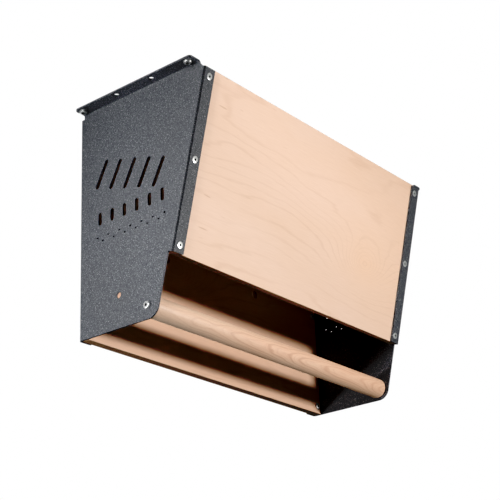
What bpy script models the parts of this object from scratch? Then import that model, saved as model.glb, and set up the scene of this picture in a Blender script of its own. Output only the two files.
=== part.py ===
"""Ceiling mounted pull-up and hangboard frame: two folded steel side plates, a sloping
front panel, a vertical back panel, a round timber bar and the screws that hold them.

Frame: origin at mid width, on the wall plane (Y = 0) and the ceiling plane (Z = 0).
X is to the right seen from the front, the front is -Y, +Z is up.  Metres.
Helpers take "depth" (forward of the wall) and "drop" (below the ceiling) in millimetres.
"""
import math

import bmesh
import bpy
from mathutils import Matrix, Vector

MM = 0.001
OBJECT_NAME = "ceiling_pull_up_frame"

# --- sizes in millimetres --------------------------------------------------------------
HALF_W = 310.0            # outer face of a side plate
T = 3.0                   # sheet thickness
R_OUT = 5.0               # outer bend radius (inner radius is R_OUT - T)
BEND_STEPS = 4
HEIGHT = 400.0            # ceiling plane to the bottom edge
TILT = math.radians(14.5)  # slope of the front face, top further forward
FRONT_TOP = (275.0, 14.0)  # depth, drop of the front flange's top end on its face
FRONT_LEN = 300.0         # length of the front flange along the slope
FLANGE = 25.0             # front and rear flange, from the plate's outer face
CEIL_OUT = 23.0           # ceiling flange, outward from the plate's outer face
CEIL_REAR, CEIL_FRONT = 9.0, 264.0
CEIL_CORNER = 6.0
REAR_TOP = 10.0           # drop of the rear flange's top end
EDGE_BACK = 9.5           # lower front edge, behind the front face
BAR_C = (147.5, 378.0)    # bar centre, depth and drop
BAR_D = 35.0
CORNER_R = 22.0
GAP = 0.3                 # clearance between pieces that touch
PANEL_T = 15.0
PANEL_HALF = 305.5
PANEL_PROUD = 2.0         # front panel above the flange's top end
BACK_TOP = 12.0
SCREW_X = 295.0           # screw line, 15 mm in from the plate's outer face
FRONT_SCREWS = (("top", 13.0), ("mid", 150.0), ("bottom", 287.0))
BACK_SCREWS = (("top", 27.0), ("mid", 207.0), ("bottom", 387.0))
CEIL_X = 323.5
CEIL_HOLES = (20.0, 97.0, 174.0, 251.0)
CEIL_HOLE_D = 9.0
SPARE_HOLE = (87.0, 345.5)
SPARE_D = 10.0
WALL_HOLE = (120.0, 209.0)  # |x|, drop of the two holes in the back panel
WALL_HOLE_D = 14.0
M6_BORE = 6.6
M8_BORE = 9.0
SEG = 16

# decorative slots cut in both side plates: centre depth, centre drop, length, width, angle
SLOTS = (
    [(50.0 + 31.0 * i, 126.0 + 9.0 * i, 52.0, 7.0, 62.0) for i in range(5)]
    + [(46.0 + 27.0 * i, 204.0, 22.0, 7.0, 90.0) for i in range(6)]
    + [(41.0 + 12.0 * i, 236.0 + 7.0 * (i % 2), 4.2, 2.4, 0.0) for i in range(13)]
)

N_FRONT = (math.cos(TILT), math.sin(TILT))     # outward normal of the front (depth, drop)
U_FRONT = (-math.sin(TILT), math.cos(TILT))    # down the slope (depth, drop)


# --- small helpers ---------------------------------------------------------------------
def clear_scene():
    for ob in list(bpy.data.objects):
        bpy.data.objects.remove(ob, do_unlink=True)


def collection(name):
    col = bpy.data.collections.new(name)
    bpy.context.scene.collection.children.link(col)
    return col


def material(name, colour, metallic, roughness):
    mat = bpy.data.materials.new(name)
    mat.use_nodes = True
    node = mat.node_tree.nodes["Principled BSDF"]
    node.inputs["Base Color"].default_value = (*colour, 1.0)
    node.inputs["Metallic"].default_value = metallic
    node.inputs["Roughness"].default_value = roughness
    mat.diffuse_color = (*colour, 1.0)
    return mat


def at(x, depth, drop):
    """Point in metres from millimetres."""
    return Vector((x, -depth, -drop)) * MM


def slope(s, behind=0.0):
    """(depth, drop) at s mm down the front face, behind mm inside it."""
    return (FRONT_TOP[0] + s * U_FRONT[0] - behind * N_FRONT[0],
            FRONT_TOP[1] + s * U_FRONT[1] - behind * N_FRONT[1])


def mesh_object(name, bm, mat, col, smooth_angle=None):
    me = bpy.data.meshes.new(name)
    bm.to_mesh(me)
    bm.free()
    ob = bpy.data.objects.new(name, me)
    col.objects.link(ob)
    if mat is not None:
        me.materials.append(mat)
    if smooth_angle is not None:
        for poly in me.polygons:
            poly.use_smooth = True
        for edge in sharp_edges(me, smooth_angle):
            edge.use_edge_sharp = True
    return ob


def sharp_edges(me, angle):
    faces = {}
    for poly in me.polygons:
        for key in poly.edge_keys:
            faces.setdefault(key, []).append(poly.normal)
    limit = math.cos(math.radians(angle))
    return [e for e in me.edges
            if len(faces.get(e.key, ())) == 2
            and faces[e.key][0].dot(faces[e.key][1]) < limit]


def hide_cutter(ob):
    ob.hide_render = True
    ob.display_type = "WIRE"


def cut(ob, cutter, operation="DIFFERENCE"):
    mod = ob.modifiers.new("cut", "BOOLEAN")
    mod.operation = operation
    mod.solver = "EXACT"
    mod.object = cutter
    dg = bpy.context.evaluated_depsgraph_get()
    me = bpy.data.meshes.new_from_object(ob.evaluated_get(dg))
    ob.modifiers.clear()
    old = ob.data
    ob.data = me
    bpy.data.meshes.remove(old)
    me.name = ob.name
    hide_cutter(cutter)


def lathe(bm, profile, frame, seg=SEG):
    """Closed solid of revolution about local Z; profile is (radius, z) from axis to axis."""
    rings = []
    for r, z in profile:
        if r <= 1e-9:
            rings.append([bm.verts.new(frame @ (Vector((0, 0, z)) * MM))])
        else:
            rings.append([bm.verts.new(frame @ (Vector((r * math.cos(2 * math.pi * k / seg),
                                                       r * math.sin(2 * math.pi * k / seg),
                                                       z)) * MM)) for k in range(seg)])
    for a, b in zip(rings, rings[1:]):
        for k in range(seg):
            j = (k + 1) % seg
            quad = [a[k % len(a)], a[j % len(a)], b[j % len(b)], b[k % len(b)]]
            bm.faces.new(list(dict.fromkeys(quad)))


def tube(bm, profile, frame, seg=SEG):
    """Closed ring solid of revolution; profile is a closed loop of (radius, z)."""
    rings = [[bm.verts.new(frame @ (Vector((r * math.cos(2 * math.pi * k / seg),
                                            r * math.sin(2 * math.pi * k / seg),
                                            z)) * MM)) for k in range(seg)] for r, z in profile]
    for i, a in enumerate(rings):
        b = rings[(i + 1) % len(rings)]
        for k in range(seg):
            j = (k + 1) % seg
            bm.faces.new([a[k], a[j], b[j], b[k]])


def prism(bm, outline, axis, lo, hi):
    """Extrude a convex or simple outline of 3-D metre points from lo to hi mm along axis."""
    shift_lo, shift_hi = axis * (lo * MM), axis * (hi * MM)
    low = [bm.verts.new(p + shift_lo) for p in outline]
    high = [bm.verts.new(p + shift_hi) for p in outline]
    bm.faces.new(low[::-1])
    bm.faces.new(high)
    for i in range(len(outline)):
        j = (i + 1) % len(outline)
        bm.faces.new([low[i], low[j], high[j], high[i]])


def frame_at(origin, z_axis):
    """Frame at a metre point whose local Z runs along z_axis."""
    rot = z_axis.to_track_quat("Z", "Y").to_matrix().to_4x4()
    return Matrix.Translation(origin) @ rot


def fix_normals(bm):
    bmesh.ops.recalc_face_normals(bm, faces=bm.faces)


FRONT_OUT = Vector((0.0, -N_FRONT[0], -N_FRONT[1]))   # outward from the sloping face
DOWN = Vector((0.0, 0.0, -1.0))
FORWARD = Vector((0.0, -1.0, 0.0))


# --- side plates -----------------------------------------------------------------------
def arc_points(centre, start, end, radius, steps):
    """Points of a 2-D arc between two angles, both ends included."""
    return [(centre[0] + radius * math.cos(start + (end - start) * i / steps),
             centre[1] + radius * math.sin(start + (end - start) * i / steps))
            for i in range(steps + 1)]


def plate_faces():
    """Left plate as polygons of (outer point, inner point) pairs, counter-clockwise seen
    from the outer side."""
    r_in = R_OUT - T
    x0 = -HALF_W
    xi = x0 + T

    def web(depth, drop):
        return (at(x0, depth, drop), at(xi, depth, drop))

    # outline of the flat web, going round from the rear top
    b_top, b_low = slope(0.0, R_OUT), slope(FRONT_LEN, R_OUT)
    e_top = slope(FRONT_LEN, EDGE_BACK)
    ang = math.asin(math.sin(TILT))
    edge_hit = slope(FRONT_LEN, EDGE_BACK)
    along = (HEIGHT - edge_hit[1]) / U_FRONT[1]
    corner = (edge_hit[0] + along * U_FRONT[0], HEIGHT)
    # fillet between the sloping edge and the bottom edge
    half = (math.pi / 2 + ang) / 2
    tan_len = CORNER_R / math.tan(half)
    centre = (corner[0] - tan_len, HEIGHT - CORNER_R)
    fillet = arc_points(centre, -ang + 2 * ang, math.pi / 2, CORNER_R, 6)
    rear = R_OUT
    ceil_fold = T + r_in
    outline = [(rear, REAR_TOP), (CEIL_REAR, REAR_TOP), (CEIL_REAR, ceil_fold),
               (CEIL_FRONT, ceil_fold), b_top, b_low, e_top]
    outline += fillet
    outline += [(rear, HEIGHT)]
    faces = [[web(d, z) for d, z in outline]]

    # front bend and flange, both turned inward
    def front_pair(s, ang_b, radius_o, radius_i):
        cx = x0 + R_OUT
        d, z = slope(s, R_OUT)
        out = []
        for rad in (radius_o, radius_i):
            dn = rad * math.sin(ang_b)
            out.append(at(cx - rad * math.cos(ang_b), d + dn * N_FRONT[0],
                          z + dn * N_FRONT[1]))
        return tuple(out)

    def rear_pair(drop, ang_b):
        cx = x0 + R_OUT
        return tuple(at(cx - rad * math.cos(ang_b), R_OUT - rad * math.sin(ang_b), drop)
                     for rad in (R_OUT, r_in))

    def ceil_pair(depth, ang_b):
        # concave on the outer side: outer face has the small radius
        cx = x0 - r_in
        return tuple(at(cx + rad * math.cos(ang_b), depth,
                        ceil_fold - rad * math.sin(ang_b)) for rad in (r_in, R_OUT))

    def bend(pair, lo, hi, first):
        """Strip of quads; first says which end of the fold leads in the web outline."""
        for i in range(BEND_STEPS):
            a0 = 0.5 * math.pi * i / BEND_STEPS
            a1 = 0.5 * math.pi * (i + 1) / BEND_STEPS
            quad = [pair(hi, a0), pair(lo, a0), pair(lo, a1), pair(hi, a1)]
            faces.append(quad if first else quad[::-1])

    quarter = 0.5 * math.pi
    bend(lambda s, a: front_pair(s, a, R_OUT, r_in), 0.0, FRONT_LEN, True)
    bend(rear_pair, HEIGHT, REAR_TOP, True)
    bend(ceil_pair, CEIL_REAR, CEIL_FRONT, True)

    # flat flanges
    def front_flat(x, s):
        d0, z0 = slope(s)
        d1, z1 = slope(s, T)
        return (at(x, d0, z0), at(x, d1, z1))
    xf = x0 + FLANGE
    c = 2.0
    faces.append([front_pair(FRONT_LEN, quarter, R_OUT, r_in),
                  front_pair(0.0, quarter, R_OUT, r_in),
                  front_flat(xf - c, 0.0), front_flat(xf, c),
                  front_flat(xf, FRONT_LEN - c), front_flat(xf - c, FRONT_LEN)])
    faces.append([rear_pair(REAR_TOP, quarter), rear_pair(HEIGHT, quarter),
                  (at(xf, 0.0, HEIGHT), at(xf, T, HEIGHT)),
                  (at(xf, 0.0, REAR_TOP), at(xf, T, REAR_TOP))])
    xc = x0 - CEIL_OUT
    rc = CEIL_CORNER
    ceil = [ceil_pair(CEIL_FRONT, quarter), ceil_pair(CEIL_REAR, quarter)]
    for cd, a0 in ((CEIL_REAR + rc, -quarter), (CEIL_FRONT - rc, 0.0)):
        for i in range(5):
            a = a0 + quarter * i / 4
            px = xc + rc - rc * math.cos(a)
            pd = cd + rc * math.sin(a)
            ceil.append((at(px, pd, T), at(px, pd, 0.0)))
    faces.append(ceil)
    return faces


def sheet_mesh(faces, mirror):
    """Weld (outer, inner) polygons into one closed sheet of constant thickness."""
    bm = bmesh.new()
    table = {}

    def vert(pair):
        key = tuple(round(c * 1e7) for c in pair[0])
        if key not in table:
            pts = [Vector((-p.x, p.y, p.z)) if mirror else p for p in pair]
            table[key] = (bm.verts.new(pts[0]), bm.verts.new(pts[1]), key)
        return table[key]

    used = {}
    loops = [[vert(p) for p in poly] for poly in faces]
    for loop in loops:
        bm.faces.new([v[0] for v in loop])
        bm.faces.new([v[1] for v in reversed(loop)])
        for a, b in zip(loop, loop[1:] + loop[:1]):
            used[(a[2], b[2])] = (a, b)
    for (ka, kb), (a, b) in used.items():
        if (kb, ka) not in used:
            bm.faces.new([b[0], a[0], a[1], b[1]])
    fix_normals(bm)
    return bm


def slot_outline(cd, cz, length, width, angle, x):
    """Rounded slot in a side plate, as metre points in the plane x."""
    half = (length - width) / 2
    a = math.radians(angle)
    pts = []
    for sgn in (1, -1):
        for i in range(5):
            t = -math.pi / 2 + math.pi * i / 4
            u = sgn * (half + width / 2 * math.cos(t))
            v = sgn * (width / 2 * math.sin(t))
            pts.append(at(x, cd + u * math.cos(a) - v * math.sin(a),
                          cz - (u * math.sin(a) + v * math.cos(a))))
    return pts


def cyl(bm, centre, axis, radius, length, seg=SEG):
    """Cylinder centred on a metre point."""
    lathe(bm, [(0, -length / 2), (radius, -length / 2), (radius, length / 2),
               (0, length / 2)], frame_at(centre, axis), seg)


def countersink(bm, centre, axis):
    """Cutter for a 90 degree flat head in the flange: wide at the face, along axis out."""
    lathe(bm, [(0, -8.0), (M6_BORE / 2, -8.0), (M6_BORE / 2, -2.9), (6.2, -0.2), (6.2, 2.0),
               (0, 2.0)], frame_at(centre, axis))


def side_plate(side, mats, col, cutters):
    sgn = -1.0 if side == "left" else 1.0
    name = "side_plate_" + side
    bm = sheet_mesh(plate_faces(), mirror=(side == "right"))
    ob = mesh_object(name, bm, mats["powder"], col)
    tool = bmesh.new()
    x_mid = sgn * (HALF_W - T / 2)
    across = Vector((1.0, 0.0, 0.0))
    cyl(tool, at(x_mid, *BAR_C), across, M8_BORE / 2, 12.0)
    cyl(tool, at(x_mid, *SPARE_HOLE), across, SPARE_D / 2, 12.0)
    for d in CEIL_HOLES:
        cyl(tool, at(sgn * CEIL_X, d, T / 2), DOWN, CEIL_HOLE_D / 2, 8.0)
    for _, s in FRONT_SCREWS:
        countersink(tool, at(sgn * SCREW_X, *slope(s)), FRONT_OUT)
    for _, z in BACK_SCREWS:
        cyl(tool, at(sgn * SCREW_X, T / 2, z), FORWARD, M6_BORE / 2, 8.0)
    for slot in SLOTS:
        prism(tool, slot_outline(*slot, x_mid), across, -5.0, 5.0)
    fix_normals(tool)
    cutter = mesh_object("cut_" + name, tool, None, cutters)
    cut(ob, cutter)
    return ob


# --- timber ----------------------------------------------------------------------------
def chamfered_box(bm, half_x, edge, corners):
    """Panel prism along X with lightly chamfered long corners; corners are (depth, drop)."""
    pts = []
    n = len(corners)
    for i in range(n):
        p = Vector(corners[i])
        for q in (Vector(corners[i - 1]), Vector(corners[(i + 1) % n])):
            pts.append(p + (q - p).normalized() * edge)
    prism(bm, [at(0.0, p.x, p.y) for p in pts], Vector((1.0, 0.0, 0.0)), -half_x, half_x)
    fix_normals(bm)


def front_panel(mats, col, cutters):
    bm = bmesh.new()
    lo, hi = T + GAP, T + GAP + PANEL_T
    chamfered_box(bm, PANEL_HALF, 0.5, [slope(-PANEL_PROUD, lo), slope(FRONT_LEN, lo),
                                        slope(FRONT_LEN, hi), slope(-PANEL_PROUD, hi)])
    ob = mesh_object("front_panel", bm, mats["birch"], col)
    tool = bmesh.new()
    for sgn in (-1.0, 1.0):
        for _, s in FRONT_SCREWS:
            cyl(tool, at(sgn * SCREW_X, *slope(s, T + PANEL_T / 2)), FRONT_OUT, 4.3, 30.0)
    fix_normals(tool)
    cut(ob, mesh_object("cut_front_panel", tool, None, cutters))
    return ob


def back_panel(mats, col, cutters):
    bm = bmesh.new()
    lo, hi = T + GAP, T + GAP + PANEL_T
    chamfered_box(bm, PANEL_HALF, 0.5, [(lo, BACK_TOP), (hi, BACK_TOP), (hi, HEIGHT),
                                        (lo, HEIGHT)])
    ob = mesh_object("back_panel", bm, mats["birch"], col)
    tool = bmesh.new()
    for sgn in (-1.0, 1.0):
        for _, z in BACK_SCREWS:
            cyl(tool, at(sgn * SCREW_X, PANEL_T / 2 + T, z), FORWARD, M6_BORE / 2, 30.0)
        cyl(tool, at(sgn * WALL_HOLE[0], PANEL_T / 2 + T, WALL_HOLE[1]), FORWARD,
            WALL_HOLE_D / 2, 30.0, 24)
    fix_normals(tool)
    cut(ob, mesh_object("cut_back_panel", tool, None, cutters))
    return ob


def pull_up_bar(mats, col, cutters):
    bm = bmesh.new()
    half = HALF_W - T - GAP
    r = BAR_D / 2
    lathe(bm, [(0, -half), (r - 0.8, -half), (r, -half + 0.8), (r, half - 0.8),
               (r - 0.8, half), (0, half)],
          frame_at(at(0.0, *BAR_C), Vector((1.0, 0.0, 0.0))), 32)
    fix_normals(bm)
    ob = mesh_object("pull_up_bar", bm, mats["beech"], col, 30)
    tool = bmesh.new()
    for sgn in (-1.0, 1.0):
        cyl(tool, at(sgn * half, *BAR_C), Vector((1.0, 0.0, 0.0)), 5.3, 2 * 32.0)
    fix_normals(tool)
    cut(ob, mesh_object("cut_pull_up_bar", tool, None, cutters))
    return ob


# --- hardware --------------------------------------------------------------------------
def socket_cut(ob, name, origin, axis, across_flats, depth, cutters):
    bm = bmesh.new()
    fr = frame_at(origin, axis)
    rad = across_flats / math.sqrt(3)
    ring = [fr @ (Vector((rad * math.cos(math.pi * k / 3), rad * math.sin(math.pi * k / 3),
                          0)) * MM) for k in range(6)]
    prism(bm, ring, axis, -depth, 3.0)
    fix_normals(bm)
    cut(ob, mesh_object("cut_" + name, bm, None, cutters))


def flat_head_screw(name, origin, axis, length, mats, col, cutters):
    """M6 countersunk screw, head flush with origin, axis points out of the head."""
    bm = bmesh.new()
    lathe(bm, [(0, -length), (2.4, -length), (3.0, -length + 0.8), (3.0, -2.95),
               (5.8, -0.35), (5.8, -0.1), (0, -0.1)], frame_at(origin, axis))
    fix_normals(bm)
    ob = mesh_object(name, bm, mats["zinc"], col, 35)
    socket_cut(ob, name, origin, axis, 4.0, 2.0, cutters)
    return ob


def button_screw(name, origin, axis, head_r, head_h, shank_r, length, flats, mats, col,
                 cutters):
    """Button head screw seated GAP above origin; axis points out of the head."""
    bm = bmesh.new()
    prof = [(0, -length), (shank_r - 0.6, -length), (shank_r, -length + 0.8),
            (shank_r, GAP), (head_r, GAP), (head_r, GAP + 0.25 * head_h)]
    for deg in (30, 60):
        a = math.radians(deg)
        prof.append((flats * 0.8 + (head_r - flats * 0.8) * math.cos(a),
                     GAP + head_h * (0.25 + 0.75 * math.sin(a))))
    prof += [(flats * 0.8, GAP + head_h), (0, GAP + head_h)]
    lathe(bm, prof, frame_at(origin, axis))
    fix_normals(bm)
    ob = mesh_object(name, bm, mats["zinc"], col, 35)
    top = origin + axis * ((GAP + head_h) * MM)
    socket_cut(ob, name, top, axis, flats, head_h * 0.6, cutters)
    return ob


def tee_nut(name, origin, axis, mats, col):
    """Tee nut pressed in from the rear of the front panel; axis points to the rear."""
    bm = bmesh.new()
    tube(bm, [(3.3, -11.0), (3.9, -11.0), (3.9, GAP), (8.5, GAP), (8.5, GAP + 1.2),
              (3.3, GAP + 1.2)], frame_at(origin, axis))
    fix_normals(bm)
    return mesh_object(name, bm, mats["zinc"], col, 35)


def bar_insert(name, origin, axis, mats, col):
    """Threaded insert flush with the bar's end; axis points out of the bar."""
    bm = bmesh.new()
    tube(bm, [(3.6, -25.0), (5.0, -25.0), (5.0, -0.5), (3.6, -0.5)], frame_at(origin, axis))
    fix_normals(bm)
    return mesh_object(name, bm, mats["zinc"], col, 35)


def build():
    clear_scene()
    col = collection(OBJECT_NAME)
    cutters = collection("cutters")
    mats = {
        "powder": material("powder_coated_steel", (0.075, 0.078, 0.085), 0.0, 0.55),
        "birch": material("birch_plywood", (0.80, 0.62, 0.46), 0.0, 0.55),
        "beech": material("beech_bar", (0.68, 0.42, 0.26), 0.0, 0.5),
        "zinc": material("zinc_plated_screws", (0.72, 0.72, 0.70), 1.0, 0.3),
    }
    for side in ("left", "right"):
        side_plate(side, mats, col, cutters)
    front_panel(mats, col, cutters)
    back_panel(mats, col, cutters)
    pull_up_bar(mats, col, cutters)
    for side, sgn in (("left", -1.0), ("right", 1.0)):
        out = Vector((sgn, 0.0, 0.0))
        for tag, s in FRONT_SCREWS:
            flat_head_screw(f"front_screw_{side}_{tag}", at(sgn * SCREW_X, *slope(s)),
                            FRONT_OUT, 18.0, mats, col, cutters)
            tee_nut(f"tee_nut_{side}_{tag}",
                    at(sgn * SCREW_X, *slope(s, T + GAP + PANEL_T)), -FRONT_OUT, mats, col)
        for tag, z in BACK_SCREWS:
            button_screw(f"back_screw_{side}_{tag}",
                         at(sgn * SCREW_X, T + GAP + PANEL_T, z), FORWARD, 6.0, 3.3, 3.0,
                         18.0, 4.0, mats, col, cutters)
        button_screw(f"bar_screw_{side}", at(sgn * HALF_W, *BAR_C), out, 6.5, 3.6, 3.3,
                     26.0, 4.5, mats, col, cutters)
        bar_insert(f"bar_insert_{side}", at(sgn * (HALF_W - T - GAP), *BAR_C), out, mats,
                   col)
        for tag, d in (("rear", CEIL_HOLES[0]), ("front", CEIL_HOLES[-1])):
            button_screw(f"ceiling_screw_{side}_{tag}", at(sgn * CEIL_X, d, T), DOWN, 7.0,
                         4.2, 4.0, T - GAP, 5.0, mats, col, cutters)


build()
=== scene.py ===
"""Visual model of the ceiling pull-up frame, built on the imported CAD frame.

Sizes are in millimetres, as in the CAD, and become metres in at() and the mesh helpers. The
origin is where the ceiling meets the wall, in the middle: x runs across, depth runs out from
the wall (-y) and drop runs down from the ceiling (-z). Lights, camera and materials are in
metres.
"""
import math

import bmesh
import bpy
from mathutils import Matrix, Vector


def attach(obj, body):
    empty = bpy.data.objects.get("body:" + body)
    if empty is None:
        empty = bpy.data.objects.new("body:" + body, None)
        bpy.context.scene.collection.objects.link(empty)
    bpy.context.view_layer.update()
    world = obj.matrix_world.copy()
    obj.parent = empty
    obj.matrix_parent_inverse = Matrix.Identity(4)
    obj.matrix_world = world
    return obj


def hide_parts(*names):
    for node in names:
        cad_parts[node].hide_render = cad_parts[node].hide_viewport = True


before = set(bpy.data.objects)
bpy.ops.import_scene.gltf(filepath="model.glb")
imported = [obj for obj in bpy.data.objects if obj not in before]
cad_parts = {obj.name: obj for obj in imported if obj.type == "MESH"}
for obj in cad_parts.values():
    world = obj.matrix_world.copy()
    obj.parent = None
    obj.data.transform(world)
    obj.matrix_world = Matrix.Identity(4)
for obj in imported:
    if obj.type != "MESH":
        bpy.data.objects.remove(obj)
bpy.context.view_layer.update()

MM = 0.001
QUARTER = 0.5 * math.pi

# --- sizes, as in the CAD (mm) ---------------------------------------------------------
HALF_W, HEIGHT = 310.0, 400.0
SHEET, BEND_R = 3.0, 5.0                       # sheet thickness, outside radius of a bend
BEND_IN = BEND_R - SHEET
TILT = math.radians(14.5)                      # the front's slope from upright
FRONT_TOP, FRONT_LEN = (275.0, 14.0), 300.0    # (depth, drop) of the slope's top, its length
FLANGE, FLANGE_CORNER = 25.0, 2.0
REAR_TOP = 10.0
CEIL_OUT, CEIL_REAR, CEIL_FRONT, CEIL_CORNER = 23.0, 9.0, 264.0, 6.0
EDGE_BACK, CORNER_R = 9.5, 22.0                # set-back and radius of the lower front corner
BAR_AT, BAR_D = (147.5, 378.0), 35.0
GAP = 0.3                                      # play between touching parts
PANEL_T, PANEL_HALF, PANEL_PROUD, BACK_TOP = 15.0, 305.5, 2.0, 12.0
SCREW_X = 295.0
FRONT_SCREWS = (("top", 13.0), ("mid", 150.0), ("bottom", 287.0))
BACK_SCREWS = (("top", 27.0), ("mid", 207.0), ("bottom", 387.0))
CEIL_X, CEIL_HOLES, CEIL_HOLE_D = 323.5, (20.0, 97.0, 174.0, 251.0), 9.0
SPARE_HOLE, SPARE_D = (87.0, 345.5), 10.0
WALL_HOLE, WALL_HOLE_D = (120.0, 209.0), 14.0
M6_BORE, M8_BORE = 6.6, 9.0
# Plain openings in the side plates: (depth, drop, length, width, slant in degrees).
SLOTS = (
    [(50.0 + 31.0 * i, 126.0 + 9.0 * i, 52.0, 7.0, 62.0) for i in range(5)]
    + [(46.0 + 27.0 * i, 204.0, 22.0, 7.0, 90.0) for i in range(6)]
    + [(41.0 + 12.0 * i, 236.0 + 7.0 * (i % 2), 4.2, 2.4, 0.0) for i in range(13)]
)

# --- sizes of details that only the visual model has (mm) ------------------------------
SHEET_EASE, PANEL_EASE, BAR_EASE = 0.35, 0.6, 1.2
BEND_STEPS, CORNER_STEPS, SLOT_STEPS, EASE_STEPS = 10, 24, 12, 5
HOLE_SIDES, SCREW_SIDES, BAR_SIDES = 48, 64, 96
FLANGE_CORNER_STEPS, CEIL_CORNER_STEPS = 4, 8
SINK_R, SINK_DEPTH = 6.2, 2.9                  # countersinks for the flat screws
WEB_TOOL, FLANGE_TOOL, PANEL_TOOL = 12.0, 8.0, 40.0
SCREW_LEN, BAR_SCREW_LEN = 18.0, 26.0
M6_R, M6_ROOT, M6_TIP, M6_PITCH, M8_PITCH = 3.0, 2.55, 2.2, 1.0, 1.25
FLAT_HEAD_R, FLAT_SUNK = 5.75, 0.1
BACK_HEAD, BAR_HEAD, CEIL_HEAD = (6.0, 3.3), (6.5, 3.6), (7.0, 4.2)    # (radius, height)
M6_KEY, BAR_KEY, CEIL_KEY = 4.0, 4.5, 5.0      # across the flats of each hex socket
BAR_SHANK_R, CEIL_SHANK_R = 3.3, 4.0
HEX_POINT, SOCKET_LIP = 0.25, 0.12
NUT_HOLE_R, NUT_BORE_R, NUT_BARREL_R, NUT_BARREL = 4.3, 3.3, 3.9, 11.0
NUT_FLANGE_R, NUT_FLANGE_T = 8.5, 1.2
INSERT_HOLE_R, INSERT_HOLE, INSERT_BORE_R = 5.3, 32.0, 3.6
INSERT_ROOT, INSERT_R, INSERT_LEN, INSERT_PITCH = 4.6, 5.0, 25.0, 1.6
PLIES = 11

# --- directions ------------------------------------------------------------------------
N_FRONT = (math.cos(TILT), math.sin(TILT))     # out of the front, as (depth, drop)
U_FRONT = (-math.sin(TILT), math.cos(TILT))    # down the front, as (depth, drop)
FRONT_OUT = Vector((0.0, -N_FRONT[0], -N_FRONT[1]))
DOWN = Vector((0.0, 0.0, -1.0))
FORWARD = Vector((0.0, -1.0, 0.0))
ACROSS = Vector((1.0, 0.0, 0.0))
SIDES = (("left", -1.0), ("right", 1.0))


# --- mesh helpers ----------------------------------------------------------------------
def at(x, depth, drop):
    """Point in metres from sizes in mm."""
    return Vector((x, -depth, -drop)) * MM


def slope(down, behind=0.0):
    """(depth, drop) of a point down the front's outer face, or behind it."""
    return (FRONT_TOP[0] + down * U_FRONT[0] - behind * N_FRONT[0],
            FRONT_TOP[1] + down * U_FRONT[1] - behind * N_FRONT[1])


def new_object(name, bm, mat=None, smooth=None):
    """Object from a bmesh; smooth is the angle in degrees above which edges stay sharp."""
    bmesh.ops.recalc_face_normals(bm, faces=bm.faces)
    me = bpy.data.meshes.new(name)
    bm.to_mesh(me)
    bm.free()
    if mat is not None:
        me.materials.append(mat)
    ob = bpy.data.objects.new(name, me)
    bpy.context.scene.collection.objects.link(ob)
    if smooth is not None:
        shade(me, smooth)
    return ob


def shade(me, angle):
    """Smooth shading with sharp edges where two faces meet at more than angle degrees."""
    me.polygons.foreach_set("use_smooth", [True] * len(me.polygons))
    faces = {}
    for poly in me.polygons:
        for key in poly.edge_keys:
            faces.setdefault(key, []).append(poly.normal)
    limit = math.cos(math.radians(angle))
    for edge in me.edges:
        pair = faces.get(edge.key, ())
        edge.use_edge_sharp = len(pair) != 2 or pair[0].dot(pair[1]) < limit


def apply_modifiers(ob):
    graph = bpy.context.evaluated_depsgraph_get()
    me = bpy.data.meshes.new_from_object(ob.evaluated_get(graph))
    ob.modifiers.clear()
    old = ob.data
    ob.data = me
    bpy.data.meshes.remove(old)
    me.name = ob.name


def settle_normals(ob, angle):
    """Smooth shading that keeps the large flat faces flat."""
    shade(ob.data, angle)
    mod = ob.modifiers.new("normals", "WEIGHTED_NORMAL")
    mod.mode, mod.weight, mod.keep_sharp = "FACE_AREA", 100, True
    apply_modifiers(ob)


def cut(ob, tool_bm):
    """Subtract a closed tool mesh."""
    tool = new_object("tool", tool_bm)
    mod = ob.modifiers.new("cut", "BOOLEAN")
    mod.operation, mod.solver, mod.object = "DIFFERENCE", "EXACT", tool
    apply_modifiers(ob)
    me = tool.data
    bpy.data.objects.remove(tool, do_unlink=True)
    bpy.data.meshes.remove(me)


def bevel(ob, width, segments, angle):
    """Ease edges sharper than angle degrees by width mm."""
    mod = ob.modifiers.new("bevel", "BEVEL")
    mod.width = width * MM
    mod.segments = segments
    mod.limit_method = "ANGLE"
    mod.angle_limit = math.radians(angle)
    mod.use_clamp_overlap = True
    apply_modifiers(ob)


def frame_at(origin, z_axis):
    return Matrix.Translation(origin) @ z_axis.to_track_quat("Z", "Y").to_matrix().to_4x4()


def arc_points(centre, start, end, radius, steps):
    return [(centre[0] + radius * math.cos(start + (end - start) * i / steps),
             centre[1] + radius * math.sin(start + (end - start) * i / steps))
            for i in range(steps + 1)]


def ring(bm, place, radius, z, count):
    """Vertices evenly round the local Z axis of a placing matrix."""
    turns = [math.tau * k / count for k in range(count)]
    return [bm.verts.new(place @ (Vector((radius * math.cos(a), radius * math.sin(a), z))
                                  * MM)) for a in turns]


def lathe(bm, profile, place, sides=HOLE_SIDES):
    """Solid of revolution about local Z; profile is (radius, z) from axis to axis."""
    rings = [ring(bm, place, r, z, sides if r > 0 else 1) for r, z in profile]
    for a, b in zip(rings, rings[1:]):
        for k in range(sides):
            j = (k + 1) % sides
            quad = [a[k % len(a)], a[j % len(a)], b[j % len(b)], b[k % len(b)]]
            bm.faces.new(list(dict.fromkeys(quad)))


def tube(bm, profile, place, sides=HOLE_SIDES):
    """Hollow solid of revolution about local Z; profile is a closed loop of (radius, z)."""
    rings = [ring(bm, place, r, z, sides) for r, z in profile]
    for a, b in zip(rings, rings[1:] + rings[:1]):
        for k in range(sides):
            j = (k + 1) % sides
            bm.faces.new([a[k], a[j], b[j], b[k]])


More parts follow.
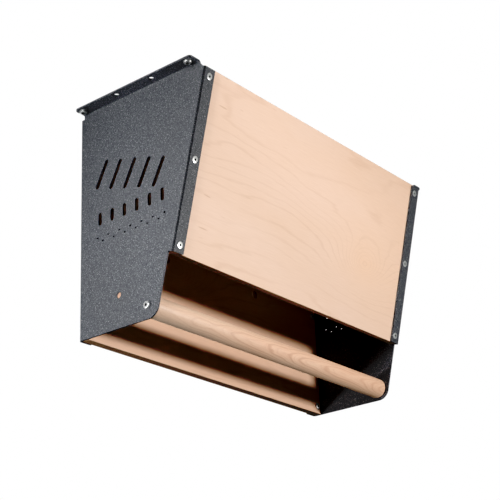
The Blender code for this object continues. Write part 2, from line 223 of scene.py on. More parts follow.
def prism(bm, outline, axis, lo, hi):
    """Solid between two copies of an outline, moved lo and hi mm along an axis."""
    low = [bm.verts.new(p + axis * (lo * MM)) for p in outline]
    high = [bm.verts.new(p + axis * (hi * MM)) for p in outline]
    bm.faces.new(low[::-1])
    bm.faces.new(high)
    for i in range(len(outline)):
        j = (i + 1) % len(outline)
        bm.faces.new([low[i], low[j], high[j], high[i]])


def rod(bm, centre, axis, radius, length):
    half = length / 2
    lathe(bm, [(0, -half), (radius, -half), (radius, half), (0, half)],
          frame_at(centre, axis))


# --- node helpers ----------------------------------------------------------------------
class Nodes:
    """Small builder for one material's node tree. Coordinates are in metres."""

    def __init__(self, name):
        self.mat = bpy.data.materials.new(name)
        self.mat.use_nodes = True
        self.tree = self.mat.node_tree
        self.bsdf = self.tree.nodes["Principled BSDF"]
        self.coord = self.tree.nodes.new("ShaderNodeTexCoord").outputs["Object"]

    def feed(self, socket, value):
        """Link an output to an input socket, or set the socket to a plain value."""
        if isinstance(value, bpy.types.NodeSocket):
            self.tree.links.new(value, socket)
        elif socket.type == "RGBA":
            socket.default_value = (*value, 1.0)
        else:
            socket.default_value = value

    def add(self, kind, **values):
        """New node of a kind; each value feeds the input of that name."""
        node = self.tree.nodes.new(kind)
        for name, value in values.items():
            self.feed(node.inputs[name], value)
        return node

    def placed(self, vector, scale=(1, 1, 1), rotation=(0, 0, 0), location=(0, 0, 0)):
        """Vector scaled, turned and moved, in that order."""
        return self.add("ShaderNodeMapping", Vector=vector, Scale=scale, Rotation=rotation,
                        Location=location).outputs["Vector"]

    def split(self, vector):
        return self.add("ShaderNodeSeparateXYZ", Vector=vector).outputs[0:3]

    def join(self, x, y, z):
        return self.add("ShaderNodeCombineXYZ", X=x, Y=y, Z=z).outputs["Vector"]

    def noise(self, vector, scale, detail=2.0, rough=0.5, distortion=0.0):
        return self.add("ShaderNodeTexNoise", Vector=vector, Scale=scale, Detail=detail,
                        Roughness=rough, Distortion=distortion).outputs["Fac"]

    def math(self, operation, a, b=None, clamp=False):
        node = self.tree.nodes.new("ShaderNodeMath")
        node.operation = operation
        node.use_clamp = clamp
        self.feed(node.inputs[0], a)
        if b is not None:
            self.feed(node.inputs[1], b)
        return node.outputs[0]

    def plus(self, a, b, clamp=False):
        return self.math("ADD", a, b, clamp)

    def minus(self, a, b):
        return self.math("SUBTRACT", a, b)

    def times(self, a, b, clamp=False):
        return self.math("MULTIPLY", a, b, clamp)

    def span(self, value, lo, hi, to_lo=0.0, to_hi=1.0, smooth=False):
        """Value from lo..hi carried to to_lo..to_hi, held at the ends."""
        node = self.tree.nodes.new("ShaderNodeMapRange")
        node.interpolation_type = "SMOOTHSTEP" if smooth else "LINEAR"
        ends = (("From Min", lo), ("From Max", hi), ("To Min", to_lo), ("To Max", to_hi))
        for name, end in ends:
            self.feed(node.inputs[name], end)
        self.feed(node.inputs["Value"], value)
        return node.outputs["Result"]

    def crest(self, saw, width):
        """1 along the middle of each turn of a saw wave, 0 beyond width from it."""
        off = self.math("ABSOLUTE", self.minus(saw, 0.5))
        return self.minus(1.0, self.span(off, 0.0, width, smooth=True))

    def mix(self, share, a, b):
        """Colour a with a share of colour b."""
        node = self.tree.nodes.new("ShaderNodeMix")
        node.data_type = "RGBA"
        sockets = [s for s in node.inputs if s.enabled]
        for socket, value in zip(sockets, (share, a, b)):
            self.feed(socket, value)
        return [s for s in node.outputs if s.enabled][0]

    def bump(self, height, strength, distance):
        node = self.add("ShaderNodeBump", Height=height, Strength=strength,
                        Distance=distance)
        self.feed(self.bsdf.inputs["Normal"], node.outputs["Normal"])

    def finish(self, colour, roughness, metallic=0.0, specular=0.5, chalky=0.0):
        """Feed the shader and give the material; chalky is its diffuse roughness."""
        inputs = (("Base Color", colour), ("Roughness", roughness), ("Metallic", metallic),
                  ("Specular IOR Level", specular), ("Diffuse Roughness", chalky))
        for name, value in inputs:
            self.feed(self.bsdf.inputs[name], value)
        return self.mat


def deepened(tone, share):
    return tuple(c * share for c in tone)


# --- materials -------------------------------------------------------------------------
def powder_coat(name, depth=1.0):
    """Fine textured dark grey powder coat: pebbled bump with sparse paler grains."""
    n = Nodes(name)
    # depth under 1 darkens every tone; the copy used along the front bend is painted shade.
    low, high, speck, haze = (deepened(tone, depth) for tone in (
        (0.051, 0.053, 0.059), (0.123, 0.126, 0.135), (0.38, 0.38, 0.385),
        (0.085, 0.084, 0.085)))
    grain = n.noise(n.coord, 720.0, 2.0, 0.6)
    coarse = n.noise(n.coord, 330.0, 3.0, 0.7)
    cloud = n.noise(n.coord, 9.0, 3.0, 0.55)
    specks = n.span(n.noise(n.coord, 620.0, 1.0, 0.5), 0.61, 0.70)
    base = n.mix(n.span(coarse, 0.28, 0.72), low, high)
    base = n.mix(n.times(specks, 0.72), base, speck)
    base = n.mix(n.span(cloud, 0.35, 0.65, 0.0, 0.22), base, haze)
    n.bump(n.plus(n.times(grain, 0.45), n.times(coarse, 0.55)), 0.60, 0.00035)
    return n.finish(base, n.span(grain, 0.3, 0.7, 0.48, 0.66), specular=0.30)


def veneer(name, tilt, offset, tones, blister):
    """Rotary cut face veneer: thin wandering contour lines round one blister figure.

    tones are light, mid, dark, warm; blister is (x, z, reach) of the figure.
    """
    light, mid, dark, warm = tones
    blister_x, blister_z, reach = blister
    n = Nodes(name)
    x, _, z = n.split(n.placed(n.coord, rotation=(tilt, 0, 0)))
    face = n.join(n.plus(x, offset), n.plus(z, offset * 0.37), 0.0)

    def flow(along, across, detail=2.0, rough=0.5, scale=1.0):
        """Noise stretched along the grain; along and across are counts per metre."""
        return n.noise(n.placed(face, (along, across, 1.0)), scale, detail, rough)

    dx = n.minus(x, blister_x)
    dz = n.times(n.minus(z, blister_z), 1.5)
    near = n.plus(n.times(dx, dx), n.times(dz, dz))
    hill = n.math("DIVIDE", reach ** 2, n.plus(near, reach ** 2))
    field = n.plus(n.times(z, 36.0), n.times(flow(1.5, 5.0, 2.0, 0.40), 12.0))
    field = n.plus(field, n.times(flow(7.0, 34.0, 3.0), 1.5))
    field = n.plus(field, n.times(hill, 10.0))
    saw = n.math("FRACT", field)
    line = n.crest(saw, 0.16)
    fade = n.span(flow(5.0, 15.0), 0.30, 0.62)
    band = n.span(saw, 0.0, 1.0, smooth=True)
    cloud = flow(1.8, 5.0, 3.0, 0.55, 1.7)
    fibre = flow(26.0, 850.0, 3.0, 0.6)
    soft = flow(12.0, 160.0)
    fleck = n.span(flow(24.0, 190.0, 0.0), 0.79, 0.84)
    leftward = n.span(x, -0.02, -0.22)
    warmth = n.plus(n.times(hill, 0.35), n.plus(n.times(x, 1.2), n.times(z, 0.8)), clamp=True)

    col = n.mix(n.span(cloud, 0.35, 0.65), light, mid)
    col = n.mix(warmth, col, warm)
    col = n.mix(n.times(band, 0.13), col, mid)
    col = n.mix(n.times(n.times(line, fade), 0.20), col, dark)
    col = n.mix(n.span(soft, 0.35, 0.7, 0.0, 0.16), col, mid)
    col = n.mix(n.span(fibre, 0.35, 0.7, 0.0, 0.14), col, dark)
    col = n.mix(n.times(n.times(fleck, leftward), 0.5), col, dark)
    n.bump(n.plus(fibre, n.times(line, -0.6)), 0.12, 0.0002)
    return n.finish(col, n.span(fibre, 0.3, 0.7, 0.50, 0.60), specular=0.30)


def ply_edge(name, tilt, start, light, dark):
    """Cut edge of plywood: cross-banded plies with dark glue lines.

    start is where the first ply begins, in metres through the board.
    """
    n = Nodes(name)
    x, y, z = n.split(n.placed(n.coord, rotation=(tilt, 0, 0)))
    edge = n.join(x, z, y)
    wave = n.noise(n.placed(edge, (6.0, 6.0, 0.0)), 1.0)
    through = n.plus(y, n.times(n.minus(wave, 0.5), 0.0004))
    layer = n.math("DIVIDE", n.minus(through, start), PANEL_T * MM / PLIES)
    odd = n.math("FRACT", n.times(n.math("FLOOR", layer), 0.5))
    end_grain = n.noise(n.placed(edge, (900.0, 900.0, 500.0)), 1.0, 2.0, 0.6)
    long_grain = n.noise(n.placed(edge, (30.0, 30.0, 1800.0)), 1.0, 2.0, 0.6)
    cross = n.mix(n.span(end_grain, 0.3, 0.7), dark, deepened(dark, 0.62))
    along = n.mix(n.span(long_grain, 0.3, 0.7), light, deepened(light, 0.82))
    col = n.mix(n.times(odd, 2.0, clamp=True), along, cross)
    glue = n.minus(1.0, n.span(n.math("FRACT", layer), 0.0, 0.13))
    col = n.mix(n.times(glue, 0.8), col, deepened(dark, 0.25))
    n.bump(n.plus(end_grain, n.times(glue, -1.0)), 0.3, 0.0003)
    return n.finish(col, 0.68, specular=0.25)


def beech():
    """Turned hardwood bar: rings cut at a slant give nested cathedral figures."""
    rings_per_m, fine_per_m = 430.0, 1290.0
    pith_y, pith_z = 0.055, 0.020              # middle of the rings, off the bar's axis
    light, mid, dark = (1.0, 0.71, 0.52), (0.985, 0.655, 0.465), (0.60, 0.29, 0.165)
    right_end, painted_light_left = (0.90, 0.55, 0.35), (1.0, 0.75, 0.57)
    n = Nodes("beech_bar")
    axis = n.placed(n.coord, location=(0, BAR_AT[0] * MM, BAR_AT[1] * MM))
    x, y, z = n.split(axis)

    def flow(along, across, detail=2.0, rough=0.5, distortion=0.0):
        """Noise stretched along the bar; along and across are counts per metre."""
        return n.noise(n.placed(axis, (along, across, across)), 1.0, detail, rough,
                       distortion)

    sway = n.times(n.minus(flow(5.0, 22.0, 3.0, 0.5, 0.2), 0.5), 0.011)
    slant = n.plus(n.times(x, -0.042), n.times(n.minus(flow(7.5, 0.0, 1.0), 0.5), 0.012))
    ring_y = n.plus(n.minus(y, pith_y), n.plus(sway, slant))
    ring_z = n.plus(z, -pith_z)
    radius = n.math("SQRT", n.plus(n.times(ring_y, ring_y), n.times(ring_z, ring_z)))
    saw = n.math("FRACT", n.times(radius, rings_per_m))
    fine = n.math("FRACT", n.times(radius, fine_per_m))
    late = n.crest(saw, 0.20)
    band = n.span(saw, 0.0, 1.0, smooth=True)
    fibre = flow(18.0, 850.0, 3.0, 0.6)
    ray = n.span(flow(260.0, 1300.0, 1.0), 0.62, 0.72)

    col = n.mix(n.span(flow(7.0, 40.0), 0.35, 0.65), light, mid)
    col = n.mix(n.times(band, 0.25), col, mid)
    col = n.mix(n.times(late, 0.40), col, dark)
    col = n.mix(n.span(fine, 0.55, 1.0, 0.0, 0.18), col, dark)
    col = n.mix(n.span(x, 0.05, 0.28, 0.0, 0.35), col, right_end)
    # Painted light: the bar's left end is lightened, standing in for light that falls short
    # there.
    col = n.mix(n.span(x, -0.05, -0.28, 0.0, 0.7), col, painted_light_left)
    col = n.mix(n.span(fibre, 0.4, 0.7, 0.0, 0.20), col, dark)
    col = n.mix(n.times(ray, 0.22), col, dark)
    n.bump(fibre, 0.15, 0.0002)
    return n.finish(col, n.span(fibre, 0.3, 0.7, 0.42, 0.55), specular=0.35, chalky=0.4)


def zinc(name, tone, rough, metallic=0.9):
    """Zinc plated steel with faint mottling."""
    n = Nodes(name)
    mottle = n.noise(n.coord, 900.0, 3.0, 0.6)
    col = n.mix(n.span(mottle, 0.3, 0.7), tone, deepened(tone, 0.78))
    n.bump(mottle, 0.10, 0.00008)
    return n.finish(col, n.span(mottle, 0.3, 0.7, rough * 0.8, rough * 1.25), metallic)


def stage_pale():
    """Evenly pale floor: glows softly, with a faint mottle."""
    n = Nodes("stage_pale")
    mottle = n.span(n.noise(n.coord, 1.3, 3.0), 0.3, 0.7)
    tone = n.mix(mottle, (0.80, 0.80, 0.80), (0.84, 0.84, 0.835))
    n.feed(n.bsdf.inputs["Emission Color"], tone)
    n.feed(n.bsdf.inputs["Emission Strength"], 1.0)
    return n.finish((0.05, 0.05, 0.05), 0.9, specular=0.0)


FRONT_TONES = ((0.915, 0.66, 0.52), (0.895, 0.63, 0.475), (0.60, 0.34, 0.20),
               (0.965, 0.62, 0.405))
BACK_TONES = ((0.78, 0.515, 0.375), (0.74, 0.475, 0.335), (0.50, 0.28, 0.16),
              (0.73, 0.455, 0.31))
GLUE_TONE = (0.34, 0.20, 0.115)
BACK_START = -(SHEET + GAP + PANEL_T) * MM
MAT = {
    "powder": powder_coat("powder_coat_dark_grey"),
    # Painted shade: a darker copy of the coat for the dark line along the front bend.
    "powder_fold_shade": powder_coat("powder_coat_fold_painted_shade", 0.42),
    "front_face": veneer("front_veneer", -TILT, 3.1, FRONT_TONES, (0.175, -0.130, 0.050)),
    "back_face": veneer("back_veneer", 0.0, 9.4, BACK_TONES, (-0.10, -0.22, 0.060)),
    "front_edge": ply_edge("front_ply_edge", -TILT, 0.0, (0.66, 0.46, 0.31), GLUE_TONE),
    "back_edge": ply_edge("back_ply_edge", 0.0, BACK_START, (0.60, 0.40, 0.285), GLUE_TONE),
    "beech": beech(),
    "zinc": zinc("zinc_plate", (0.72, 0.72, 0.70), 0.34, 0.55),
    # Painted shade: the hanger screws face down and take a dimmer zinc for the shade they sit
    # in.
    "zinc_shaded": zinc("zinc_plate_painted_shade", (0.42, 0.42, 0.41), 0.36, 0.8),
    # Painted shade: near black, for the shade inside the hex sockets.
    "socket": zinc("socket_painted_shade", (0.018, 0.017, 0.016), 0.75, 0.0),
    # Dark zinc, darkened further as painted shade for the nuts that sit in shadow inside the
    # frame.
    "insert": zinc("dark_zinc_and_shade_insert", (0.30, 0.29, 0.27), 0.38),
}


# --- side plates -----------------------------------------------------------------------
def web_outline():
    """(depth, drop) corners of the plate's flat side, up to where the bends begin."""
    edge_top = slope(FRONT_LEN, EDGE_BACK)
    to_bottom = (HEIGHT - edge_top[1]) / U_FRONT[1]
    corner_depth = edge_top[0] + to_bottom * U_FRONT[0]
    half = (QUARTER + TILT) / 2
    centre = (corner_depth - CORNER_R / math.tan(half), HEIGHT - CORNER_R)
    return ([(BEND_R, REAR_TOP), (CEIL_REAR, REAR_TOP), (CEIL_REAR, BEND_R),
             (CEIL_FRONT, BEND_R), slope(0.0, BEND_R), slope(FRONT_LEN, BEND_R), edge_top]
            + arc_points(centre, TILT, QUARTER, CORNER_R, CORNER_STEPS)
            + [(BEND_R, HEIGHT)])


def front_bend(down, a):
    """(outer, inner) points a radians round the front bend of the left plate."""
    depth, drop = slope(down, BEND_R)
    middle = BEND_R - HALF_W
    return tuple(at(middle - r * math.cos(a), depth + r * math.sin(a) * N_FRONT[0],
                    drop + r * math.sin(a) * N_FRONT[1]) for r in (BEND_R, BEND_IN))


def rear_bend(drop, a):
    middle = BEND_R - HALF_W
    return tuple(at(middle - r * math.cos(a), BEND_R - r * math.sin(a), drop)
                 for r in (BEND_R, BEND_IN))


def ceiling_bend(depth, a):
    middle = -HALF_W - BEND_IN
    return tuple(at(middle + r * math.cos(a), depth, BEND_R - r * math.sin(a))
                 for r in (BEND_IN, BEND_R))


def bend_faces(bend, lo, hi):
    """Quads round a bend, between its ends at lo and hi."""
    turns = [QUARTER * i / BEND_STEPS for i in range(BEND_STEPS + 1)]
    return [[bend(hi, a), bend(lo, a), bend(lo, b), bend(hi, b)]
            for a, b in zip(turns, turns[1:])]


def front_flange():
    edge, r = FLANGE - HALF_W, FLANGE_CORNER
    face = [front_bend(FRONT_LEN, QUARTER), front_bend(0.0, QUARTER)]
    for middle, start in ((r, -QUARTER), (FRONT_LEN - r, 0.0)):
        corner = arc_points((edge - r, middle), start, start + QUARTER, r,
                            FLANGE_CORNER_STEPS)
        face += [(at(x, *slope(down)), at(x, *slope(down, SHEET))) for x, down in corner]
    return face


def rear_flange():
    edge = FLANGE - HALF_W
    return [rear_bend(REAR_TOP, QUARTER), rear_bend(HEIGHT, QUARTER),
            (at(edge, 0.0, HEIGHT), at(edge, SHEET, HEIGHT)),
            (at(edge, 0.0, REAR_TOP), at(edge, SHEET, REAR_TOP))]


def ceiling_flange():
    edge, r = -HALF_W - CEIL_OUT, CEIL_CORNER
    face = [ceiling_bend(CEIL_FRONT, QUARTER), ceiling_bend(CEIL_REAR, QUARTER)]
    for middle, start in ((CEIL_REAR + r, -QUARTER), (CEIL_FRONT - r, 0.0)):
        corner = arc_points((0.0, middle), start, start + QUARTER, r, CEIL_CORNER_STEPS)
        face += [(at(edge + r - x, depth, SHEET), at(edge + r - x, depth, 0.0))
                 for x, depth in corner]
    return face


def plate_faces():
    """Left plate as polygons of (outer, inner) point pairs."""
    web = [(at(-HALF_W, depth, drop), at(SHEET - HALF_W, depth, drop))
           for depth, drop in web_outline()]
    return ([web]
            + bend_faces(front_bend, 0.0, FRONT_LEN)
            + bend_faces(rear_bend, HEIGHT, REAR_TOP)
            + bend_faces(ceiling_bend, CEIL_REAR, CEIL_FRONT)
            + [front_flange(), rear_flange(), ceiling_flange()])


def sheet_mesh(faces, mirror):
    """Weld (outer, inner) polygons into one closed sheet of constant thickness."""
    bm = bmesh.new()
    table, used = {}, {}

    def vert(pair):
        key = tuple(round(c * 1e7) for c in pair[0])
        if key not in table:
            ends = [Vector((-p.x, p.y, p.z)) if mirror else p for p in pair]
            table[key] = (bm.verts.new(ends[0]), bm.verts.new(ends[1]), key)
        return table[key]

    for poly in faces:
        loop = [vert(p) for p in poly]
        bm.faces.new([v[0] for v in loop])
        bm.faces.new([v[1] for v in reversed(loop)])
        for a, b in zip(loop, loop[1:] + loop[:1]):
            used[(a[2], b[2])] = (a, b)
    for (key_a, key_b), (a, b) in used.items():
        if (key_b, key_a) not in used:
            bm.faces.new([b[0], a[0], a[1], b[1]])
    bmesh.ops.recalc_face_normals(bm, faces=bm.faces)
    return bm


def slot_outline(depth, drop, length, width, slant, x):
    """Round-ended slot in the plane at x, slant degrees from level."""
    a = math.radians(slant)
    end = arc_points(((length - width) / 2, 0.0), -QUARTER, QUARTER, width / 2, SLOT_STEPS)
    return [at(x, depth + u * math.cos(a) - v * math.sin(a),
               drop - (u * math.sin(a) + v * math.cos(a)))
            for u, v in end + [(-u, -v) for u, v in end]]


def plate_openings(sgn):
    """Tool for every hole and slot of one side plate."""
    tool = bmesh.new()
    web_x = sgn * (HALF_W - SHEET / 2)
    rod(tool, at(web_x, *BAR_AT), ACROSS, M8_BORE / 2, WEB_TOOL)
    rod(tool, at(web_x, *SPARE_HOLE), ACROSS, SPARE_D / 2, WEB_TOOL)
    for depth in CEIL_HOLES:
        rod(tool, at(sgn * CEIL_X, depth, SHEET / 2), DOWN, CEIL_HOLE_D / 2, FLANGE_TOOL)
    sink = [(0, -FLANGE_TOOL), (M6_BORE / 2, -FLANGE_TOOL), (M6_BORE / 2, -SINK_DEPTH),
            (SINK_R, -0.2), (SINK_R, 2.0), (0, 2.0)]
    for _, down in FRONT_SCREWS:
        lathe(tool, sink, frame_at(at(sgn * SCREW_X, *slope(down)), FRONT_OUT))
    for _, drop in BACK_SCREWS:
        rod(tool, at(sgn * SCREW_X, SHEET / 2, drop), FORWARD, M6_BORE / 2, FLANGE_TOOL)
    for slot in SLOTS:
        prism(tool, slot_outline(*slot, web_x), ACROSS, -5.0, 5.0)
    return tool


def side_plate(side, sgn):
    ob = new_object(f"plate_{side}", sheet_mesh(plate_faces(), side == "right"), MAT["powder"])
    cut(ob, plate_openings(sgn))
    bevel(ob, SHEET_EASE, segments=2, angle=40)
    # Painted shade: the middle of the front bend's outer face takes a darker copy of the coat,
    # standing in for the dark line the lighting makes along the bend.
    ob.data.materials.append(MAT["powder_fold_shade"])
    outward = Vector((sgn, 0.0, 0.0))
    for poly in ob.data.polygons:
        side_on, front_on = poly.normal.dot(outward), poly.normal.dot(FRONT_OUT)
        if side_on > 0.30 and front_on > 0.42 and abs(poly.center.x) > (HALF_W - BEND_R) * MM:
            poly.material_index = 1
    settle_normals(ob, 32)
    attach(ob, "root")
    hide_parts(f"side_plate_{side}")


# --- timber ----------------------------------------------------------------------------
def panel(name, node, corners, mats, holes):
    """Plywood board from its (depth, drop) section, with a face and an edge material.

    holes are (centre, axis, radius).
    """
    bm = bmesh.new()
    prism(bm, [at(0.0, *corner) for corner in corners], ACROSS, -PANEL_HALF, PANEL_HALF)
    ob = new_object(name, bm)
    tool = bmesh.new()
    for centre, axis, radius in holes:
        rod(tool, centre, axis, radius, PANEL_TOOL)
    cut(ob, tool)
    bevel(ob, PANEL_EASE, segments=3, angle=60)
    for mat in mats:
        ob.data.materials.append(MAT[mat])
    down = (Vector(corners[1]) - Vector(corners[0])).normalized()
    normal = Vector((0.0, -down.y, down.x)).normalized()
    for poly in ob.data.polygons:
        poly.material_index = 0 if abs(poly.normal.dot(normal)) > 0.8 else 1
    settle_normals(ob, 40)
    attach(ob, "root")
    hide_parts(node)


def panels():
    lo, hi = SHEET + GAP, SHEET + GAP + PANEL_T
    mid = lo + PANEL_T / 2
    front_holes = [(at(sgn * SCREW_X, *slope(down, mid)), FRONT_OUT, NUT_HOLE_R)
                   for _, sgn in SIDES for _, down in FRONT_SCREWS]
    panel("board_front", "front_panel",
          [slope(-PANEL_PROUD, lo), slope(FRONT_LEN, lo), slope(FRONT_LEN, hi),
           slope(-PANEL_PROUD, hi)], ("front_face", "front_edge"), front_holes)
    back_holes = [(at(sgn * SCREW_X, mid, drop), FORWARD, M6_BORE / 2)
                  for _, sgn in SIDES for _, drop in BACK_SCREWS]
    back_holes += [(at(sgn * WALL_HOLE[0], mid, WALL_HOLE[1]), FORWARD, WALL_HOLE_D / 2)
                   for _, sgn in SIDES]
    panel("board_back", "back_panel",
          [(hi, BACK_TOP), (hi, HEIGHT), (lo, HEIGHT), (lo, BACK_TOP)],
          ("back_face", "back_edge"), back_holes)


def bar():
    bm = bmesh.new()
    half, r = HALF_W - SHEET - GAP, BAR_D / 2
    ease = arc_points((r - BAR_EASE, half - BAR_EASE), 0.0, QUARTER, BAR_EASE, EASE_STEPS)
    profile = [(0, -half)] + [(radius, -z) for radius, z in reversed(ease)]
    profile += [(r, z) for z in (-half + 60, -half / 2, 0, half / 2, half - 60)]
    profile += ease + [(0, half)]
    lathe(bm, profile, frame_at(at(0.0, *BAR_AT), ACROSS), BAR_SIDES)
    ob = new_object("grip_bar", bm, MAT["beech"])
    tool = bmesh.new()
    for _, sgn in SIDES:
        rod(tool, at(sgn * half, *BAR_AT), ACROSS, INSERT_HOLE_R, 2 * INSERT_HOLE)
    cut(ob, tool)
    shade(ob.data, 35)
    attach(ob, "root")
    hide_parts("pull_up_bar")


# --- hardware --------------------------------------------------------------------------
def hex_tool(origin, axis, across_flats, depth):
    """Hex key recess with a shallow drill point."""
    bm = bmesh.new()
    place = frame_at(origin, axis)
    radius = across_flats / math.sqrt(3)
    top, low = (ring(bm, place, radius, z, 6) for z in (3.0, -depth))
    tip = bm.verts.new(place @ (Vector((0, 0, -depth - HEX_POINT * across_flats)) * MM))
    bm.faces.new(top)
    for k in range(6):
        j = (k + 1) % 6
        bm.faces.new([top[k], top[j], low[j], low[k]])
        bm.faces.new([low[k], low[j], tip])
    return bm


def threads(r_minor, r_major, z_lo, z_hi, pitch):
    """Ridged profile from z_lo up to z_hi."""
    pts, z = [], z_lo
    while z + pitch <= z_hi:
        pts += [(r_minor, z), (r_major, z + pitch * 0.45), (r_major, z + pitch * 0.55)]
        z += pitch
    return pts + [(r_minor, z)]


def place_screw(name, node, profile, origin, axis, flats, depth, mouth, finish="zinc"):
    """Screw turned about axis, with a hex socket that opens mouth mm above origin."""
    bm = bmesh.new()
    lathe(bm, profile, frame_at(origin, axis), SCREW_SIDES)
    ob = new_object(name, bm, MAT[finish])
    cut(ob, hex_tool(origin + axis * (mouth * MM), axis, flats, depth))
    # Painted shade: the faces inside the socket take the near-black material.
    ob.data.materials.append(MAT["socket"])
    top, bottom, reach = mouth - SOCKET_LIP, mouth - depth - flats, flats * 0.6
    for poly in ob.data.polygons:
        arm = (poly.center - origin) / MM
        lift = arm.dot(axis)
        inside = bottom < lift < top and (arm - axis * lift).length < reach
        if inside and len(poly.vertices) < 7:
            poly.material_index = 1
    shade(ob.data, 28)
    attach(ob, "root")
    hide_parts(node)


def flat_head(name, node, origin, axis, length):
    """M6 countersunk screw whose face lies just under the sheet's."""
    r, sunk = FLAT_HEAD_R, -FLAT_SUNK
    profile = [(0, -length), (M6_TIP, -length)]
    profile += threads(M6_ROOT, M6_R, -length + 0.6, -3.4, M6_PITCH)
    profile += [(M6_R, -3.0), (r - 0.2, -0.42), (r, -0.30), (r, -0.16), (r - 0.15, sunk),
                (0, sunk)]
    place_screw(name, node, profile, origin, axis, M6_KEY, 1.9, sunk)


def button_head(name, node, origin, axis, head, shank_r, length, flats, pitch,
                finish="zinc"):
    """Screw with a (radius, height) button head; a shank of 5 mm or less is left plain."""
    head_r, head_h = head
    profile = [(0, -length), (shank_r - 0.8, -length)]
    if length > 5:
        profile += threads(shank_r - 0.5, shank_r, -length + 0.6, -1.0, pitch)
    rim = 0.22                                 # share of the head's height that is upright
    profile += [(shank_r, -0.6), (shank_r, GAP), (head_r - 0.3, GAP), (head_r, GAP + 0.25),
                (head_r, GAP + rim * head_h)]
    flat_r = flats * 0.78
    for i in range(1, 10):
        a = QUARTER * i / 10
        profile.append((flat_r + (head_r - flat_r) * math.cos(a),
                        GAP + head_h * (rim + (1.0 - rim) * math.sin(a))))
    profile += [(flat_r, GAP + head_h), (0, GAP + head_h)]
    place_screw(name, node, profile, origin, axis, flats, head_h * 0.6, GAP + head_h, finish)


def tee_nut(side, sgn, tag, down):
    """Nut with a barrel in the board and a round flange on the board's back."""
    ease, top = 0.2, GAP + NUT_FLANGE_T
    bm = bmesh.new()
    tube(bm, [(NUT_BORE_R, -NUT_BARREL), (NUT_BARREL_R, -NUT_BARREL), (NUT_BARREL_R, GAP),
              (NUT_FLANGE_R - ease, GAP), (NUT_FLANGE_R, GAP + ease),
              (NUT_FLANGE_R, top - ease), (NUT_FLANGE_R - ease, top), (NUT_BARREL_R, top),
              (NUT_BORE_R, top - 0.5)],
         frame_at(at(sgn * SCREW_X, *slope(down, SHEET + GAP + PANEL_T)), -FRONT_OUT))
    nut = new_object(f"panel_nut_{side}_{tag}", bm, MAT["insert"], 30)
    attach(nut, "root")
    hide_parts(f"tee_nut_{side}_{tag}")


def bar_insert(side, sgn, out):
    """Threaded sleeve in one end of the bar."""
    ridges = threads(INSERT_ROOT, INSERT_R, -INSERT_LEN, -1.0, INSERT_PITCH)
    bm = bmesh.new()
    tube(bm, [(INSERT_BORE_R, -INSERT_LEN)] + ridges
         + [(INSERT_R, -0.5), (INSERT_BORE_R, -0.5)],
         frame_at(at(sgn * (HALF_W - SHEET - GAP), *BAR_AT), out))
    ins = new_object(f"grip_insert_{side}", bm, MAT["insert"], 30)
    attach(ins, "root")
    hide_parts(f"bar_insert_{side}")


def hardware(side, sgn):
    out = Vector((sgn, 0.0, 0.0))
    for tag, down in FRONT_SCREWS:
        flat_head(f"flat_screw_{side}_{tag}", f"front_screw_{side}_{tag}",
                  at(sgn * SCREW_X, *slope(down)), FRONT_OUT, SCREW_LEN)
        tee_nut(side, sgn, tag, down)
    for tag, drop in BACK_SCREWS:
        button_head(f"board_screw_{side}_{tag}", f"back_screw_{side}_{tag}",
                    at(sgn * SCREW_X, SHEET + GAP + PANEL_T, drop), FORWARD, BACK_HEAD,
                    M6_R, SCREW_LEN, M6_KEY, M6_PITCH)
    button_head(f"grip_screw_{side}", f"bar_screw_{side}", at(sgn * HALF_W, *BAR_AT), out,
                BAR_HEAD, BAR_SHANK_R, BAR_SCREW_LEN, BAR_KEY, M6_PITCH)
    bar_insert(side, sgn, out)
    for tag, depth in (("rear", CEIL_HOLES[0]), ("front", CEIL_HOLES[-1])):
        # The hanger screws take the dimmer zinc, which is painted shade.
        button_head(f"hanger_screw_{side}_{tag}", f"ceiling_screw_{side}_{tag}",
                    at(sgn * CEIL_X, depth, SHEET), DOWN, CEIL_HEAD, CEIL_SHANK_R,
                    SHEET - GAP, CEIL_KEY, M8_PITCH, "zinc_shaded")


# --- camera, light, stage --------------------------------------------------------------
def place_facing(data, place, x_axis, y_axis, z_axis):
    """Object at place, with its own axes turned to the three given."""
    ob = bpy.data.objects.new(data.name, data)
    m = Matrix((x_axis, y_axis, z_axis)).transposed().to_4x4()
    m.translation = Vector(place)
    ob.matrix_world = m
    bpy.context.scene.collection.objects.link(ob)
    return ob


def camera():
    """Camera solved from the photograph's edges."""
    pitch, yaw, roll = (math.radians(a) for a in (22.262, 50.094, -1.795))
    ahead = Vector((math.sin(yaw) * math.cos(pitch), math.cos(yaw) * math.cos(pitch),
                    math.sin(pitch)))
    level = Vector((math.cos(yaw), -math.sin(yaw), 0.0))
    up = level.cross(ahead)
    right = level * math.cos(roll) + up * math.sin(roll)
    rolled_up = up * math.cos(roll) - level * math.sin(roll)
    cam = bpy.data.cameras.new("camera")
    cam.sensor_width = 36.0
    cam.lens = 94.42656
    cam.shift_x, cam.shift_y = 0.07664, 0.03168
    cam.clip_end = 200.0
    bpy.context.scene.camera = place_facing(cam, (-1.66375, -1.40799, -1.07357), right,
                                            rolled_up, -ahead)


def area_light(name, place, aim, size, power, colour=(1, 1, 1), spread=180.0, even=False):
    """Softbox at place, facing aim; even=True keeps its light the same at any distance."""
    light = bpy.data.lights.new(name, "AREA")
    light.shape = "RECTANGLE"
    light.size, light.size_y = size
    light.energy = power
    light.color = colour
    light.spread = math.radians(spread)
    if even:
        light.use_nodes = True
        tree = light.node_tree
        falloff = tree.nodes.new("ShaderNodeLightFalloff")
        falloff.inputs["Strength"].default_value = 1.0
        tree.links.new(falloff.outputs["Constant"], tree.nodes["Emission"].inputs["Strength"])
    z = (Vector(place) - Vector(aim)).normalized()
    x = Vector((0, 0, 1)).cross(z).normalized()
    place_facing(light, place, x, z.cross(x), z)


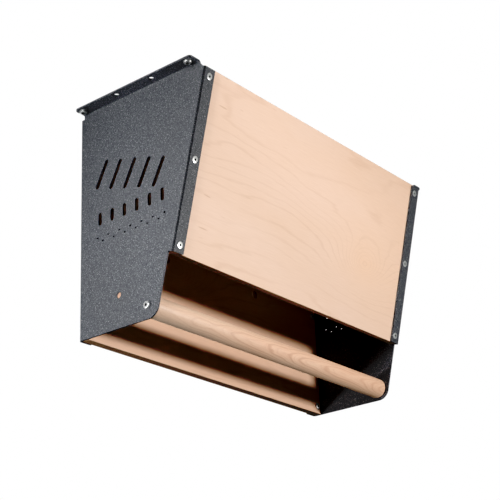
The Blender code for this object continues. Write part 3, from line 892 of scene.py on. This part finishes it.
def lights():
    """Key low in front on the right, softer boxes on the left plate, fills for the rest."""
    area_light("key", (0.474, -1.518, -0.500), (-0.21, -0.237, -0.190), (0.22, 0.15), 5.95,
               (1.0, 0.99, 0.975), 145.0, even=True)
    area_light("side", (-1.15, -0.110, -0.36), (-0.31, -0.180, -0.260), (0.18, 0.24), 0.92,
               (0.99, 0.99, 1.0), 75.0)
    area_light("edge", (-1.60, -0.48, -0.03), (0.0, -0.20, -0.27), (0.30, 0.30), 1.16,
               (0.98, 0.99, 1.0), 60.0)
    # The rim light grazes the front and the right plate's front flange.
    area_light("rim", (-1.60, -0.64, 0.32), (0.31, -0.24, -0.16), (0.10, 0.10), 0.08,
               (1.0, 0.99, 0.98), 11.0)
    # The under light reaches the left ceiling flange and its screws from below.
    area_light("under", (-0.90, -0.12, -1.20), (-0.33, -0.12, 0.0), (0.10, 0.20), 0.065,
               (1.0, 1.0, 1.0), 20.0)
    area_light("low_rear", (-1.22, 0.66, -0.80), (0.0, -0.08, -0.36), (0.16, 0.16), 1.55,
               (0.97, 0.985, 1.0), 70.0)
    area_light("back_fill", (0.75, 2.2, -0.16), (0.0, 0.0, -0.18), (0.7, 0.25), 4.2,
               (1.0, 1.0, 1.0), 50.0)
    area_light("right_fill", (2.2, 0.35, -0.14), (0.31, -0.12, -0.18), (0.6, 0.25), 2.9,
               (1.0, 1.0, 1.0), 50.0)


def studio():
    """White surroundings to the camera, faint cool light from all round to the object."""
    world = bpy.data.worlds.new("studio")
    bpy.context.scene.world = world
    world.use_nodes = True
    tree = world.node_tree
    ambient = tree.nodes["Background"]
    ambient.inputs["Color"].default_value = (0.5, 0.8, 1.0, 1)
    ambient.inputs["Strength"].default_value = 0.05
    white = tree.nodes.new("ShaderNodeBackground")
    white.inputs["Color"].default_value = (1, 1, 1, 1)
    white.inputs["Strength"].default_value = 1.0
    path = tree.nodes.new("ShaderNodeLightPath")
    mix = tree.nodes.new("ShaderNodeMixShader")
    tree.links.new(path.outputs["Is Camera Ray"], mix.inputs["Fac"])
    tree.links.new(ambient.outputs["Background"], mix.inputs[1])
    tree.links.new(white.outputs["Background"], mix.inputs[2])
    tree.links.new(mix.outputs["Shader"], tree.nodes["World Output"].inputs["Surface"])


def tone_curve():
    """Deepens the shadows and leaves mid and light tones nearly as they are."""
    view = bpy.context.scene.view_settings
    view.view_transform = "Standard"
    view.look = "None"
    view.use_curve_mapping = True
    curve = view.curve_mapping.curves[3]
    for x, y in ((0.022, 0.0012), (0.030, 0.0044), (0.067, 0.018), (0.095, 0.053),
                 (0.153, 0.127), (0.30, 0.297)):
        curve.points.new(x, y)
    view.curve_mapping.update()


def floor():
    """Pale floor well below the frame, which lights and colours nothing else."""
    reach, drop, thick = 6.0, 2.3, 20.0
    bm = bmesh.new()
    prism(bm, [Vector((x * reach, y * reach, -drop))
               for x, y in ((-1, -1), (1, -1), (1, 1), (-1, 1))],
          Vector((0, 0, 1)), -thick, 0.0)
    ob = new_object("floor", bm, stage_pale())
    ob.visible_diffuse = False
    ob.visible_glossy = False


for _side, _sgn in SIDES:
    side_plate(_side, _sgn)
panels()
bar()
for _side, _sgn in SIDES:
    hardware(_side, _sgn)
camera()
lights()
studio()
tone_curve()
floor()
